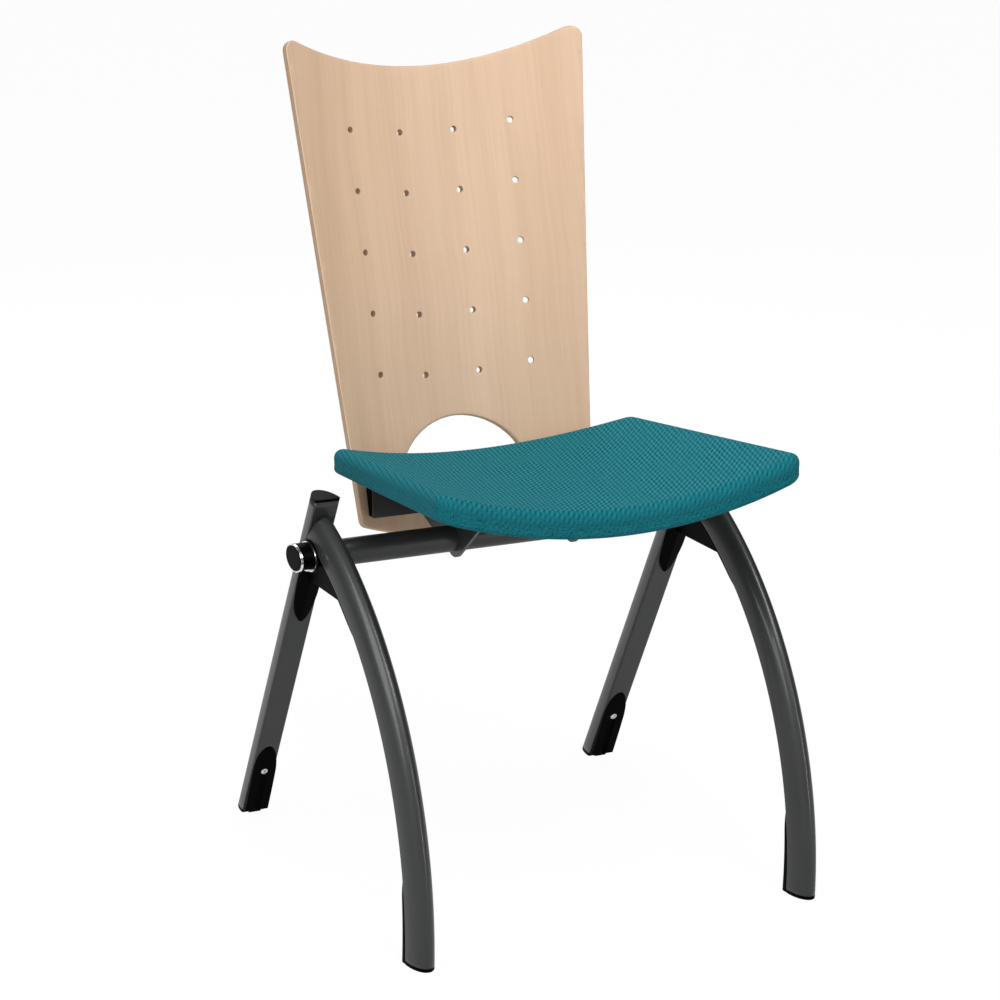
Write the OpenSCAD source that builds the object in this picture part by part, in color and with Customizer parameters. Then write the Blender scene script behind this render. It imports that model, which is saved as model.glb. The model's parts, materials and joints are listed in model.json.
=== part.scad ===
// Nesting side chair: two leg frames joined by one cross-bar, a cantilevered upholstered seat
// and a curved plywood back.
// Millimetres. +Z is up, +X is the sitter's left, -Y is the front of the chair.
// The origin lies on the floor, midway between the feet.

/* [Leg frames] */
// Depth of the leg frames from the front of the front legs to the back of the rear feet
base_d = 571.1; // [500:0.1:640]
// Distance between the middle planes of the two leg frames
frame_gap = 473.8; // [440:0.1:560]
// Width of the leg tube across its flat face
leg_w = 29.7; // [24:0.1:34]
// Depth of the leg tube from its flat face to its crest
leg_d = 32.6; // [24:0.1:36]
// Wall of the leg tube
leg_wall = 2; // [1.5:0.1:3]
// Corner radius of the leg tube beside its flat face
leg_corner_r = 2.2; // [1:0.1:4]
// Lean of the rear leg from upright, in degrees
rear_lean = 29.73; // [24:0.01:34]
// Length of the rear leg's flat face above the end of the front leg
rear_leg_over = 26; // [10:0.5:60]
// Radius of the front leg's flat inner face
front_arc_r = 409; // [380:0.1:440]
// Height of the front leg's arc centre above the floor
front_arc_z = 24.3; // [10:0.1:60]

/* [Leg ends] */
// Slope of the rear leg's top cap, rising to the rear, in degrees
cap_slope = 3; // [0:1:20]
// Thickness of the top cap
cap_t = 4; // [3:0.1:6]
// Depth of the cap's plug inside the tube
cap_plug_l = 14; // [8:1:25]
// Thickness of a glide's sole under the tube
sole_t = 4.2; // [3:0.1:8]
// Height of a glide's tongue along the flat face
glide_tongue_l = 118; // [90:1:140]
// How far a glide's tongue stands proud of the flat face at the floor
glide_proud = 6.5; // [4:0.5:14]
// Length of a glide tongue's rounded tip
glide_tip_l = 46; // [25:1:60]
// Height of the glide's screw along the leg
glide_screw_s = 76; // [60:1:85]
// Radius of the channel below the glide's screw
glide_channel_r = 4.6; // [3:0.1:6]
// Depth of a glide's plug inside the tube
glide_plug_l = 20; // [12:1:40]
// Head diameter of the glide screw
glide_head_d = 8.4; // [6:0.1:10]
// Head height of the glide screw
glide_head_t = 2.4; // [1.6:0.1:3]
// Shank diameter of the glide screw
glide_shank_d = 4.2; // [3:0.1:5]
// Length of the glide screw
glide_screw_l = 16; // [12:1:20]

/* [Frame joint] */
// Distance of the hub axis from the rear leg's flat face
hub_to_rear = 17.1; // [16:0.1:24]
// Distance of the hub axis from the front leg's flat face
hub_to_front = 13.2; // [9:0.1:16]
// Thickness of the web between the legs
web_t = 8; // [5:0.5:14]
// Distance of the web's lower edge below the cross-bar's axis
web_drop = 38.3; // [30:0.1:60]
// Thickness of the joint's tongues along their middle ridge
tongue_ridge = 4.6; // [3:0.1:7]
// Thickness of the joint's tongues along their edges
tongue_edge = 2.2; // [1:0.1:3]
// Length of a joint tongue's rounded tip below the web
tongue_tip_l = 67; // [40:1:80]
// Distance of the rear tongue's upper end from the front leg's end
tongue_end_gap = 11; // [8:1:30]
// Outer diameter of the cross-bar
bar_d = 30.8; // [24:0.1:34]
// Wall of the cross-bar
bar_wall = 2.5; // [1.5:0.1:4]
// Length of the threaded plug in each end of the cross-bar
bar_plug_l = 26; // [20:1:40]

/* [Side knobs] */
// Width of the oval side knob over its end ring, front to back
knob_w = 46.4; // [42:0.1:50]
// Height of the side knob over its end ring
knob_h = 31.4; // [30:0.1:36]
// How far a side knob stands out from its leg
knob_out = 20.9; // [14:0.1:26]
// Diameter of the stud's threaded shank
stud_d = 12; // [10:0.5:14]
// Length of the stud's shank inside the cross-bar's plug
stud_grip = 22; // [14:1:24]
// Diameter of the knob's core
core_d = 22; // [18:0.5:25]
// Thickness of the joint's outer flange under the knob
flange_t = 1.6; // [1:0.1:3]
// Thickness of the bright washer under the sleeve
washer_t = 1.2; // [0.8:0.1:2]
// Width of the bright end ring
end_ring_w = 2.8; // [2:0.1:4]
// Radial wall of the bright end ring
ring_wall = 1.6; // [1:0.1:3]
// How far the knob's face stands out from its end ring
face_proud = 0.8; // [0.3:0.1:2]
// Wall of the sleeve
sleeve_wall = 1.8; // [1:0.1:2.4]
// Width of the window that opens the sleeve, in degrees
sleeve_window = 120; // [60:1:140]
// Width of the bright inner ring seen in the window
inner_ring_w = 3; // [2:0.1:4]

/* [Back] */
// Height of the back panel along its slope, from its lowest edge to its horns
back_h = 588; // [540:0.5:640]
// Width of the back panel at its foot
back_foot_w = 295; // [260:0.1:330]
// Width of the back panel at its horns
back_top_w = 380; // [340:0.1:420]
// Thickness of the back panel
back_t = 12; // [9:0.5:15]
// Radius to which the back panel's front face is bent
back_bend_r = 320; // [280:1:420]
// Recline of the back panel from upright, in degrees
back_recline = 14.6; // [8:0.1:20]
// Distance of the back panel's lowest front point behind the bracket block's front face
back_behind_block = 30.8; // [26:0.1:44]
// Distance of the back panel's lowest front point below the bracket block's underside
back_below_block = 41.7; // [20:0.1:60]
// Radius of the back panel's hollow top edge
back_top_r = 505; // [440:1:600]
// Radius of the back panel's round bottom edge
back_bottom_r = 490; // [400:1:800]
// Radius of the back panel's top corners
back_top_corner_r = 13; // [8:0.5:20]
// Radius of the back panel's bottom corners
back_bottom_corner_r = 10; // [6:0.5:20]
// Diameter of the vent holes
vent_d = 7.5; // [5:0.1:10]
// Number of rows of vent holes
vent_rows = 5; // [2:1:6]
// Height of the lowest row of inner vent holes above the panel's foot
vent_first = 191; // [170:1:220]
// Distance from one row of vent holes to the next
vent_pitch = 72; // [60:0.5:85]
// Distance of the inner vent holes from the middle line
vent_inner_x = 34.7; // [25:0.1:45]
// Distance of the outer vent holes in the lowest row from the middle line
vent_outer_x = 97.5; // [85:0.1:110]
// How much farther out the outer vent holes lie with each row
vent_spread = 1.4; // [0:0.1:3]
// How much higher the outer vent holes lie than the inner ones
vent_rise = 5.4; // [0:0.1:10]
// Radius of the hand hole
hand_r = 86; // [60:1:95]
// Height of the hand hole's arc centre above the panel's foot
hand_centre = 54; // [40:1:80]
// Height of the hand hole's straight lower side above the panel's foot
hand_base = 86; // [80:1:100]
// Radius of the hand hole's lower corners
hand_corner_r = 10; // [6:0.5:14]

/* [Back bracket] */
// Distance of a bracket block's inner side from the middle plane
block_in_x = 69; // [62:0.5:72]
// Distance of a bracket block's outer side from the middle plane
block_out_x = 138; // [120:0.5:140]
// Height of a bracket block's underside above the cross-bar's axis
block_over_bar = 8.2; // [0:0.1:10]
// Height of a bracket block
block_h = 34; // [28:0.5:36]
// Distance of the bracket block's front face behind the cross-bar's axis
block_behind_bar = 92; // [82:0.1:94]
// Distance of the inner back bolt from the middle plane
back_bolt_in_x = 86; // [80:0.5:90]
// Distance of the outer back bolt from the middle plane
back_bolt_out_x = 122; // [116:0.5:126]
// Shank diameter of the back bolts
back_bolt_d = 6; // [5:0.5:8]
// Head diameter of the back bolts
back_head_d = 13; // [10:0.5:16]
// Head height of the back bolts
back_head_t = 3.4; // [2:0.1:5]
// Length of the back bolts' shanks in the block
back_bolt_grip = 8; // [6:0.5:9]
// Distance of the middle of a block's two screws from the middle plane
block_screw_x = 91; // [90:0.5:100]
// Distance between the two screws that hold a block to its tab
block_screw_gap = 13; // [11:0.5:14]

/* [Seat carriers] */
// Distance of a carrier plate's middle from the middle plane
carrier_x = 74.2; // [66:0.1:90]
// Thickness of the carrier's plates
carrier_t = 4; // [3:0.1:6]
// Width of the metal round the cross-bar
hook_w = 6.9; // [5:0.1:14]
// Slope of the carrier plate's front edge from level, in degrees
carrier_slope = 38.5; // [30:0.5:50]
// Distance of the seat rail's front end in front of the cross-bar's axis
rail_front = 169; // [120:1:200]
// Distance of the seat rail's rear end behind the cross-bar's axis
rail_rear = 80; // [60:1:82]
// Width of the seat rail
rail_w = 40; // [30:1:60]
// Shank diameter of the small screws
screw_d = 5; // [4:0.5:6]
// Head diameter of the small screws
screw_head_d = 9.5; // [8:0.1:12]
// Head height of the small screws
screw_head_t = 2.6; // [2:0.1:4]
// Distance of the front seat screws in front of the cross-bar's axis
seat_screw_front = 144; // [110:1:155]
// Distance of the rear seat screws behind the cross-bar's axis
seat_screw_rear = 36; // [20:1:60]

/* [Seat] */
// Height of the seat's top over the cross-bar's axis, on the middle line
seat_over_bar = 79; // [60:0.1:95]
// Slope of the seat down to the rear, in degrees
seat_slope = 3.83; // [0:0.01:8]
// Radius of the seat's hollow across its width
seat_bend_r = 640; // [500:1:1200]
// Thickness of the seat pad with its board
seat_t = 30.9; // [26:0.1:40]
// Width of the seat at its front corners
seat_front_w = 438.2; // [400:0.1:450]
// Width of the seat at its rear corners
seat_rear_w = 388.5; // [350:0.1:410]
// Distance of the front corners in front of the cross-bar's axis
seat_front_y = 285.5; // [260:0.1:290]
// Distance of the rear corners behind the cross-bar's axis
seat_rear_y = 75.7; // [62:0.1:80]
// How far the front edge bows forwards
seat_front_bow = 5.5; // [4:0.1:20]
// How far the rear edge bows backwards
seat_rear_bow = 45; // [30:0.1:50]
// Radius of the seat's corners in plan
seat_corner_r = 21; // [18:0.5:40]
// Rounding of the pad's upper edge
pad_top_r = 14; // [6:0.5:15]
// Rounding of the pad's lower edge
pad_bottom_r = 5; // [3:0.5:8]
// How far the pad's sides are drawn in
pad_draw = 0.8; // [0:0.1:2]
// Height of the pad's crown over its edge
pad_crown = 1.5; // [0:0.1:6]
// Thickness of the seat board
board_t = 10; // [8:0.5:12]
// Distance of the seat board's edge inside the pad's edge
board_inset = 9; // [7:0.5:20]
// Diameter of the threaded inserts in the seat board
insert_d = 9; // [7:0.5:10]
// Depth of the threaded inserts in the seat board
insert_l = 8; // [6:0.5:9]

/* [Hidden] */

// Colours
steel_c = [0.16, 0.16, 0.17];
plastic_c = [0.07, 0.07, 0.07];
chrome_c = [0.82, 0.83, 0.85];
zinc_c = [0.68, 0.69, 0.70];
beech_c = [0.87, 0.73, 0.58];
board_c = [0.22, 0.20, 0.19];
fabric_c = [0.05, 0.46, 0.50];

// Clearances and overruns
fit = 0.1;
soft_gap = 0.3;
cut = 1;
reach = 2 * base_d;
sweep_over = 8;

// Facets of the curves
arc_fn = 240;
round_fn = 48;
small_fn = 32;
corner_n = 5;
crest_n = 22;
edge_n = 14;
seat_edge_n = 8;
fillet_n = 4;
oval_n = 64;
side_n = 6;
under_n = 2;
round_n = 3;
crown_shares = [0.85, 0.62, 0.38, 0.16];
socket_share = 1.6;
glide_fade = 1.5;
ceiling_shares = [0.3, 0.7, 1];

// Places worked out from the sizes
leg_x = frame_gap / 2;
leg_in_x = leg_x - leg_w / 2;
leg_out_x = leg_x + leg_w / 2;
crest_r = front_arc_r + leg_d;
arc_y = crest_r - base_d / 2;
rear_foot_y = base_d / 2 - leg_d / cos(rear_lean);
rear_along = [-sin(rear_lean), cos(rear_lean)];
rear_front = [-cos(rear_lean), -sin(rear_lean)];
rear_foot = [rear_foot_y, 0];
arc_centre = [arc_y, front_arc_z];
rear_leg_l = along_rear(rear_foot, crest_r) + rear_leg_over;
hub_start = rear_foot + hub_to_rear * rear_front;
hub = hub_start + along_rear(hub_start, front_arc_r - hub_to_front) * rear_along;
hub_y = hub[0];
hub_z = hub[1];
web_z = hub_z - web_drop;
web_s = web_z / cos(rear_lean);
floor_a = -asin(front_arc_z / front_arc_r);
web_a = asin((web_z - front_arc_z) / front_arc_r);
front_top_s = along_rear(rear_foot, front_arc_r);
front_top = rear_foot + front_top_s * rear_along;
front_top_a = acos((arc_y - front_top[0]) / front_arc_r) + sweep_over;
front_low_a = floor_a - sweep_over;
knob_end_x = leg_out_x + knob_out;
flange_x = leg_out_x + 3 * fit;
washer_x = flange_x + flange_t;
sleeve_x = washer_x + washer_t;
ring_end_x = knob_end_x - face_proud;
ring_x = ring_end_x - end_ring_w;
block_y = hub_y + block_behind_bar;
block_z = hub_z + block_over_bar;
back_foot_y = block_y + back_behind_block;
back_foot_z = block_z - back_below_block;
back_side_rise = (back_top_w - back_foot_w) / 2 / back_h;
seat_z = hub_z + seat_over_bar;

// Distance from a start, parallel to the rear leg, to the circle of some radius about the arc's centre
function along_rear(start, r) = let(off = start - arc_centre, b = off * rear_along)
    sqrt(b * b - off * off + r * r) - b;

// Point on the front leg's flat face at an angle above the arc centre's level
function arc_point(a) = [arc_y - front_arc_r * cos(a), front_arc_z + front_arc_r * sin(a)];

// Half-elliptic tube section: flat side along x, crest along +y
function d_points(w, d, r) = let(start = asin(r / d)) concat(
    [for (i = [0:corner_n]) [w / 2 - r + r * sin(90 * i / corner_n), r - r * cos(90 * i / corner_n)]],
    [for (i = [1:crest_n - 1]) let(a = start + (180 - 2 * start) * i / crest_n)
        [w / 2 * cos(a), d * sin(a)]],
    [for (i = [corner_n:-1:0]) [r - w / 2 - r * sin(90 * i / corner_n), r - r * cos(90 * i / corner_n)]]);

// Outline with rounded corners between two slanting sides and two round ends.
// A side runs along x = half + rise * y. An end is a circle about (0, centre) with radius r: bulge 1 for
// an outline that lies inside it and -1 for one that lies outside it; pick 1 or -1 is the root in y.
function corner_centre(half, rise, centre, r, bulge, pick, fillet) =
    let(a = half - fillet * sqrt(1 + rise * rise), k = 1 + rise * rise, m = a * rise - centre,
        reach_r = r - bulge * fillet, q = a * a + centre * centre - reach_r * reach_r,
        y = (-m + pick * sqrt(m * m - k * q)) / k)
    [a + rise * y, y];

// Right half of the outline from the middle of the lower end to the middle of the upper end
function half_outline(half, rise, low, high, n_end, n_side) =
    let(lc = corner_centre(half, rise, low[0], low[1], low[2], low[3], low[4]),
        hc = corner_centre(half, rise, high[0], high[1], high[2], high[3], high[4]),
        side_a = atan2(-rise, 1),
        low_a = atan2(lc[1] - low[0], lc[0]),
        high_a = atan2(hc[1] - high[0], hc[0]),
        low_end_a = low[2] > 0 ? low_a : low_a + 180,
        high_end_a = high[2] > 0 ? high_a : high_a + 180,
        low_mid_a = low[3] < 0 ? -90 : 90,
        high_mid_a = high[3] < 0 ? -90 : 90,
        p0 = lc + low[4] * [cos(side_a), sin(side_a)],
        p1 = hc + high[4] * [cos(side_a), sin(side_a)])
    concat(
        [for (i = [0:n_end - 1]) let(a = low_mid_a + (low_a - low_mid_a) * i / n_end)
            [low[1] * cos(a), low[0] + low[1] * sin(a)]],
        [for (i = [0:fillet_n]) let(a = low_end_a + (side_a - low_end_a) * i / fillet_n)
            lc + low[4] * [cos(a), sin(a)]],
        [for (i = [1:n_side - 1]) p0 + (p1 - p0) * i / n_side],
        [for (i = [0:fillet_n]) let(a = side_a + (high_end_a - side_a) * i / fillet_n)
            hc + high[4] * [cos(a), sin(a)]],
        [for (i = [n_end - 1:-1:0]) let(a = high_mid_a + (high_a - high_mid_a) * i / n_end)
            [high[1] * cos(a), high[0] + high[1] * sin(a)]]);

// The whole outline, counter-clockwise, with the two middle points once each
function mirrored(points) = let(n = len(points))
    concat(points, [for (i = [n - 2:-1:1]) [-points[i][0], points[i][1]]]);

// Height of a circular hollow over its lowest line
function hollow(r, x) = r - sqrt(r * r - x * x);

// Back panel: x across, y up the slope from its foot
back_low = [back_bottom_r, back_bottom_r, 1, -1, back_bottom_corner_r];
back_top_centre = back_h - back_top_corner_r
    + sqrt(pow(back_top_r + back_top_corner_r, 2) - pow(back_top_w / 2 - back_top_corner_r, 2));
back_high = [back_top_centre, back_top_r, -1, -1, back_top_corner_r];
back_outline = mirrored(half_outline(back_foot_w / 2, back_side_rise, back_low, back_high, edge_n, 1));

// Seat pad in plan, y from the cross-bar's axis: a ring that lies some distance inside the pad's edge
seat_rise = -(seat_front_w - seat_rear_w) / 2 / (seat_front_y + seat_rear_y);
seat_half = seat_front_w / 2 + seat_rise * seat_front_y;
function bow_r(half, bow) = (half * half + bow * bow) / (2 * bow);
seat_front_r = bow_r(seat_front_w / 2, seat_front_bow);
seat_rear_r = bow_r(seat_rear_w / 2, seat_rear_bow);
seat_mid_y = (seat_rear_y - seat_front_y) / 2;
function seat_ring(inset) = mirrored(half_outline(
    seat_half - inset * sqrt(1 + seat_rise * seat_rise), seat_rise,
    [seat_front_r - seat_front_y - seat_front_bow, seat_front_r - inset, 1, -1, seat_corner_r - inset],
    [seat_rear_y + seat_rear_bow - seat_rear_r, seat_rear_r - inset, 1, 1, seat_corner_r - inset],
    seat_edge_n, side_n));
function shrunk(ring, share) = [for (p = ring) [p[0] * share, seat_mid_y + (p[1] - seat_mid_y) * share]];

// Height of the pad's upper surface, a trough that slopes down to the rear
function seat_top(x, y) = seat_z - y * tan(seat_slope) + hollow(seat_bend_r, x) / cos(seat_slope);
function raised(ring, lift) = [for (p = ring) [p[0], p[1], seat_top(p[0], p[1]) + lift]];

// Placing
module side(s) {
    mirror([s < 0 ? 1 : 0, 0, 0]) children();
}

// A flat outline drawn as (depth, height), made a plate about a plane at x
module plate(x, t) {
    translate([x, 0, 0]) rotate([90, 0, 90]) linear_extrude(height = t, center = true) children();
}

// A bar along X at the hub, from x0 to x1
module hub_rod(x0, x1, d) {
    translate([x0, hub_y, hub_z]) rotate([0, 90, 0]) cylinder(h = x1 - x0, d = d, $fn = round_fn);
}

// An oval bar along X at the hub, from x0 to x1: the knob's outline grown all round
module hub_oval(x0, x1, grow) {
    translate([x0, hub_y, hub_z]) rotate([90, 0, 90]) linear_extrude(height = x1 - x0)
        polygon([for (i = [0:oval_n - 1]) let(a = 360 * i / oval_n)
            [(knob_w / 2 + grow) * cos(a), (knob_h / 2 + grow) * sin(a)]]);
}

// The rear leg's own frame: x across, y from flat face to crest, z along the leg from the floor
module rear_frame() {
    translate([leg_x, rear_foot_y, 0]) rotate([rear_lean, 0, 0]) children();
}

// A section swept about the front leg's arc centre, between two angles above that centre's level
module front_sweep(low_a, high_a) {
    translate([leg_x, arc_y, front_arc_z]) rotate([90, 0, 90]) rotate([0, 0, 180 - high_a])
        rotate_extrude(angle = high_a - low_a, $fn = arc_fn) children();
}

// Everything above a height
module above(z) {
    translate([-reach, -reach, z]) cube([2 * reach, 2 * reach, reach]);
}

// Everything between two heights
module between(z0, z1) {
    translate([-reach, -reach, z0]) cube([2 * reach, 2 * reach, z1 - z0]);
}

// Below the cap's underside, or below its top, in the rear leg's frame
module below_cap(depth) {
    translate([0, 0, rear_leg_l]) rotate([cap_slope - rear_lean, 0, 0])
        translate([-reach, -reach, -reach - depth]) cube([2 * reach, 2 * reach, reach]);
}

// Solid prism of the rear leg's outer or inner section
module rear_prism(inset) {
    translate([0, inset, -leg_w]) linear_extrude(height = rear_leg_l + 2 * leg_w)
        polygon(d_points(leg_w - 2 * inset, leg_d - 2 * inset, max(leg_corner_r - inset, fit)));
}

// Solid arc of the front leg's outer or inner section
module front_prism(inset) {
    front_sweep(front_low_a, front_top_a)
        polygon([for (p = d_points(leg_w - 2 * inset, leg_d - 2 * inset, max(leg_corner_r - inset, fit)))
            [front_arc_r + inset + p[1], p[0]]]);
}

// In front of the rear leg's flat face
module before_rear_leg() {
    rear_frame() translate([-reach, -reach, -reach]) cube([2 * reach, reach, 2 * reach]);
}

// Angle that a distance along the front leg's flat face takes up, and the angle above the arc centre's
// level at such a distance from the floor
function arc_turn(s) = s / front_arc_r * 180 / PI;
function arc_angle(s) = floor_a + arc_turn(s);

// The front leg's frame at such an angle: x across, y from flat face to crest, z up along the leg
module front_frame(a) {
    translate([leg_x, arc_point(a)[0], arc_point(a)[1]]) rotate([-a, 0, 0]) mirror([0, 1, 0]) children();
}

// How far a glide's tongue stands proud at a share of its height
function proud(share) = glide_proud * (1 - pow(share, glide_fade));
screw_share = glide_screw_s / glide_tongue_l;
glide_lean = atan((glide_proud - proud(screw_share)) / glide_screw_s);

// Face outline of a tongue: straight sides, then a half-elliptic tip at its far end
module tongue_face(w, l, tip, back) {
    rotate([90, 0, 0]) linear_extrude(height = reach, center = true)
        polygon(concat([[w / 2, -back], [w / 2, l - tip]],
            [for (i = [1:crest_n - 1]) let(a = 180 * i / crest_n) [w / 2 * cos(a), l - tip + tip * sin(a)]],
            [[-w / 2, l - tip], [-w / 2, -back]]));
}

// Frame of a glide screw: its origin on the tongue's surface, +Z into the leg
module glide_screw_frame() {
    translate([0, -proud(screw_share), 0]) rotate([-glide_lean - 90, 0, 0]) children();
}

// Screw with a hexagon socket: head from 0 to head_t along +Z, shank on to l
module screw(head_d, head_t, shank_d, l) {
    difference() {
        union() {
            cylinder(h = head_t, d = head_d, $fn = small_fn);
            cylinder(h = l, d = shank_d, $fn = small_fn);
        }
        translate([0, 0, -head_t]) cylinder(h = head_t * socket_share, d = head_d / 2, $fn = 6);
    }
}

// Hole, head seat and channel for a glide screw, in that screw's frame
module glide_cuts() {
    cylinder(h = leg_d, d = glide_shank_d + 2 * fit, $fn = small_fn);
    translate([0, 0, glide_head_t - glide_proud])
        cylinder(h = glide_proud, d = glide_head_d + 2 * fit, $fn = small_fn);
    translate([0, 0, -glide_channel_r / 2]) rotate([-90, 0, 0])
        cylinder(h = 2 * glide_tongue_l, r = glide_channel_r, $fn = small_fn);
}

// Leg tubes
module rear_leg() {
    color(steel_c) difference() {
        rear_frame() intersection() {
            difference() {
                rear_prism(0);
                rear_prism(leg_wall);
            }
            below_cap(cap_t);
        }
        between(-reach, sole_t);
        rear_frame() translate([0, 0, glide_screw_s]) glide_screw_frame() leg_hole();
    }
}

module front_leg() {
    color(steel_c) difference() {
        intersection() {
            difference() {
                front_prism(0);
                front_prism(leg_wall);
            }
            before_rear_leg();
            above(sole_t);
        }
        front_frame(arc_angle(glide_screw_s)) glide_screw_frame() leg_hole();
    }
}

// Hole for a glide screw through a leg's flat wall only
module leg_hole() {
    cylinder(h = glide_proud + leg_wall, d = glide_shank_d + 2 * fit, $fn = small_fn);
}

// Cap in the top of a rear leg
module leg_cap() {
    color(plastic_c) rear_frame() {
        difference() {
            intersection() {
                rear_prism(0);
                below_cap(0);
            }
            below_cap(cap_t);
        }
        difference() {
            intersection() {
                rear_prism(leg_wall + fit);
                below_cap(cap_t);
            }
            below_cap(cap_t + cap_plug_l);
        }
    }
}

// Rear glide: sole, plug and a wedge-shaped tongue up the flat face
module rear_glide() {
    color(plastic_c) difference() {
        union() {
            intersection() {
                rear_frame() rear_prism(0);
                between(0, sole_t);
            }
            intersection() {
                rear_frame() rear_prism(leg_wall + fit);
                between(sole_t, sole_t + glide_plug_l);
            }
            intersection() {
                rear_frame() rotate([90, 0, 90]) linear_extrude(height = leg_w, center = true)
                    polygon(concat([[0, -leg_d], [-glide_proud, -leg_d]],
                        [for (i = [0:crest_n]) [-proud(i / crest_n), glide_tongue_l * i / crest_n]]));
                rear_frame() tongue_face(leg_w, glide_tongue_l, glide_tip_l, 2 * leg_d);
                above(sole_t - fit);
            }
            intersection() {
                rear_frame() translate([-leg_w / 4, -glide_proud / 2, -leg_d])
                    cube([leg_w / 2, glide_proud / 2 + leg_wall, 2 * leg_d]);
                between(0, sole_t);
            }
        }
        rear_frame() translate([0, 0, glide_screw_s]) glide_screw_frame() glide_cuts();
    }
}

// Front glide: the same on the arc
module front_glide() {
    color(plastic_c) difference() {
        union() {
            intersection() {
                front_prism(0);
                between(0, sole_t);
            }
            intersection() {
                front_prism(leg_wall + fit);
                between(sole_t, sole_t + glide_plug_l);
            }
            intersection() {
                plate(leg_x, leg_w) intersection() {
                    translate([arc_y, front_arc_z]) circle(r = front_arc_r, $fn = arc_fn);
                    polygon(concat([for (i = [-under_n:crest_n]) wedge_point(i / crest_n)],
                        [wedge_point(1) - [leg_d, 0], [-reach, -leg_d], [0, -leg_d]]));
                }
                translate([leg_x, 0, 0]) tongue_face(leg_w, glide_tongue_l, glide_tip_l, 2 * leg_d);
                above(0);
            }
            intersection() {
                front_sweep(front_low_a, 0) translate([front_arc_r - glide_proud / 2, -leg_w / 4])
                    square([glide_proud / 2 + leg_wall, leg_w / 2]);
                between(0, sole_t);
            }
        }
        front_frame(arc_angle(glide_screw_s)) glide_screw_frame() glide_cuts();
    }
}

// Point on the outer face of the front glide's tongue
function wedge_point(share) = let(a = arc_angle(glide_tongue_l * share), p = proud(max(share, 0)))
    arc_point(a) + p * [cos(a), -sin(a)];

module glide_screws() {
    color(zinc_c) for (s = [-1, 1]) side(s) {
        rear_frame() translate([0, 0, glide_screw_s]) glide_screw_frame()
            screw(glide_head_d, glide_head_t, glide_shank_d, glide_screw_l);
        front_frame(arc_angle(glide_screw_s)) glide_screw_frame()
            screw(glide_head_d, glide_head_t, glide_shank_d, glide_screw_l);
    }
}

// Space between the two legs of a frame, seen from the side
module between_legs() {
    intersection() {
        translate([arc_y, front_arc_z]) circle(r = front_arc_r, $fn = arc_fn);
        polygon([rear_foot, rear_foot + reach * rear_along,
            rear_foot + reach * (rear_along + rear_front), rear_foot + reach * rear_front]);
    }
}

// Section of a joint tongue: x across, ridge towards -y
tongue_half = [[leg_w / 2, 0], [leg_w / 2, -tongue_edge / 2], [(leg_w - tongue_edge) / 2, -tongue_edge]];
tongue_points = concat(tongue_half, [[0, -tongue_ridge]],
    [for (i = [2:-1:0]) [-tongue_half[i][0], tongue_half[i][1]]]);

// Joint casting: web between the legs, a tongue on each flat face, hub for the cross-bar and knob
module joint() {
    color(plastic_c) difference() {
        union() {
            plate(leg_x, web_t) intersection() {
                between_legs();
                translate([-reach, web_z]) square([2 * reach, reach]);
            }
            intersection() {
                rear_frame() translate([0, 0, web_s - tongue_tip_l])
                    linear_extrude(height = front_top_s - tongue_end_gap - web_s + tongue_tip_l)
                        polygon(tongue_points);
                rear_frame() translate([0, 0, web_s]) mirror([0, 0, 1])
                    tongue_face(leg_w, tongue_tip_l, tongue_tip_l, reach);
                plate(leg_x, leg_w + cut) between_legs();
            }
            intersection() {
                front_sweep(web_a - arc_turn(tongue_tip_l), front_top_a)
                    polygon([for (p = tongue_points) [front_arc_r + p[1], p[0]]]);
                front_frame(web_a) mirror([0, 0, 1])
                    tongue_face(leg_w, tongue_tip_l, tongue_tip_l, reach);
                before_rear_leg();
            }
            hub_rod(leg_in_x, washer_x, 2 * hub_to_front);
            hub_oval(flange_x, washer_x, washer_t + flange_t);
        }
        hub_rod(leg_in_x - cut, washer_x + cut, stud_d + 2 * fit);
    }
}

// Cross-bar and the threaded plugs in its ends
module crossbar() {
    color(steel_c) difference() {
        hub_rod(-leg_in_x, leg_in_x, bar_d);
        hub_rod(-leg_in_x - cut, leg_in_x + cut, bar_d - 2 * bar_wall);
    }
}

module bar_plug() {
    color(zinc_c) difference() {
        hub_rod(leg_in_x - bar_plug_l, leg_in_x, bar_d - 2 * bar_wall - fit);
        hub_rod(leg_in_x - bar_plug_l - cut, leg_in_x + cut, stud_d + fit);
    }
}

// Side knob: stud with core, washer, sleeve with its window, inner ring, end ring and face
module knob_stud() {
    color(plastic_c) {
        hub_rod(leg_in_x - stud_grip, sleeve_x, stud_d);
        hub_rod(sleeve_x, ring_x, core_d);
    }
}

module knob_washer() {
    color(chrome_c) difference() {
        hub_oval(washer_x, sleeve_x, washer_t);
        hub_rod(washer_x - cut, sleeve_x + cut, stud_d + 2 * fit);
    }
}

// The sleeve's window: a wedge that opens downwards
module window(angle) {
    far = knob_w;
    translate([0, hub_y, hub_z]) rotate([90, 0, 90]) linear_extrude(height = reach)
        polygon([[0, 0], [-far * sin(angle / 2), -far * cos(angle / 2)], [-far, -2 * far], [far, -2 * far],
            [far * sin(angle / 2), -far * cos(angle / 2)]]);
}

sleeve_in = -washer_t / 4;
sleeve_bore = sleeve_in - sleeve_wall;
inner_ring_x = sleeve_x + inner_ring_w / 2;
module knob_sleeve() {
    color(plastic_c) difference() {
        hub_oval(sleeve_x, ring_x, sleeve_in);
        hub_oval(sleeve_x - cut, ring_x - sleeve_wall, sleeve_bore);
        hub_rod(sleeve_x - cut, ring_x + cut, core_d + 2 * fit);
        intersection() {
            window(sleeve_window);
            hub_oval(sleeve_x - cut, ring_x - sleeve_wall, knob_w);
        }
    }
}

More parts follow.
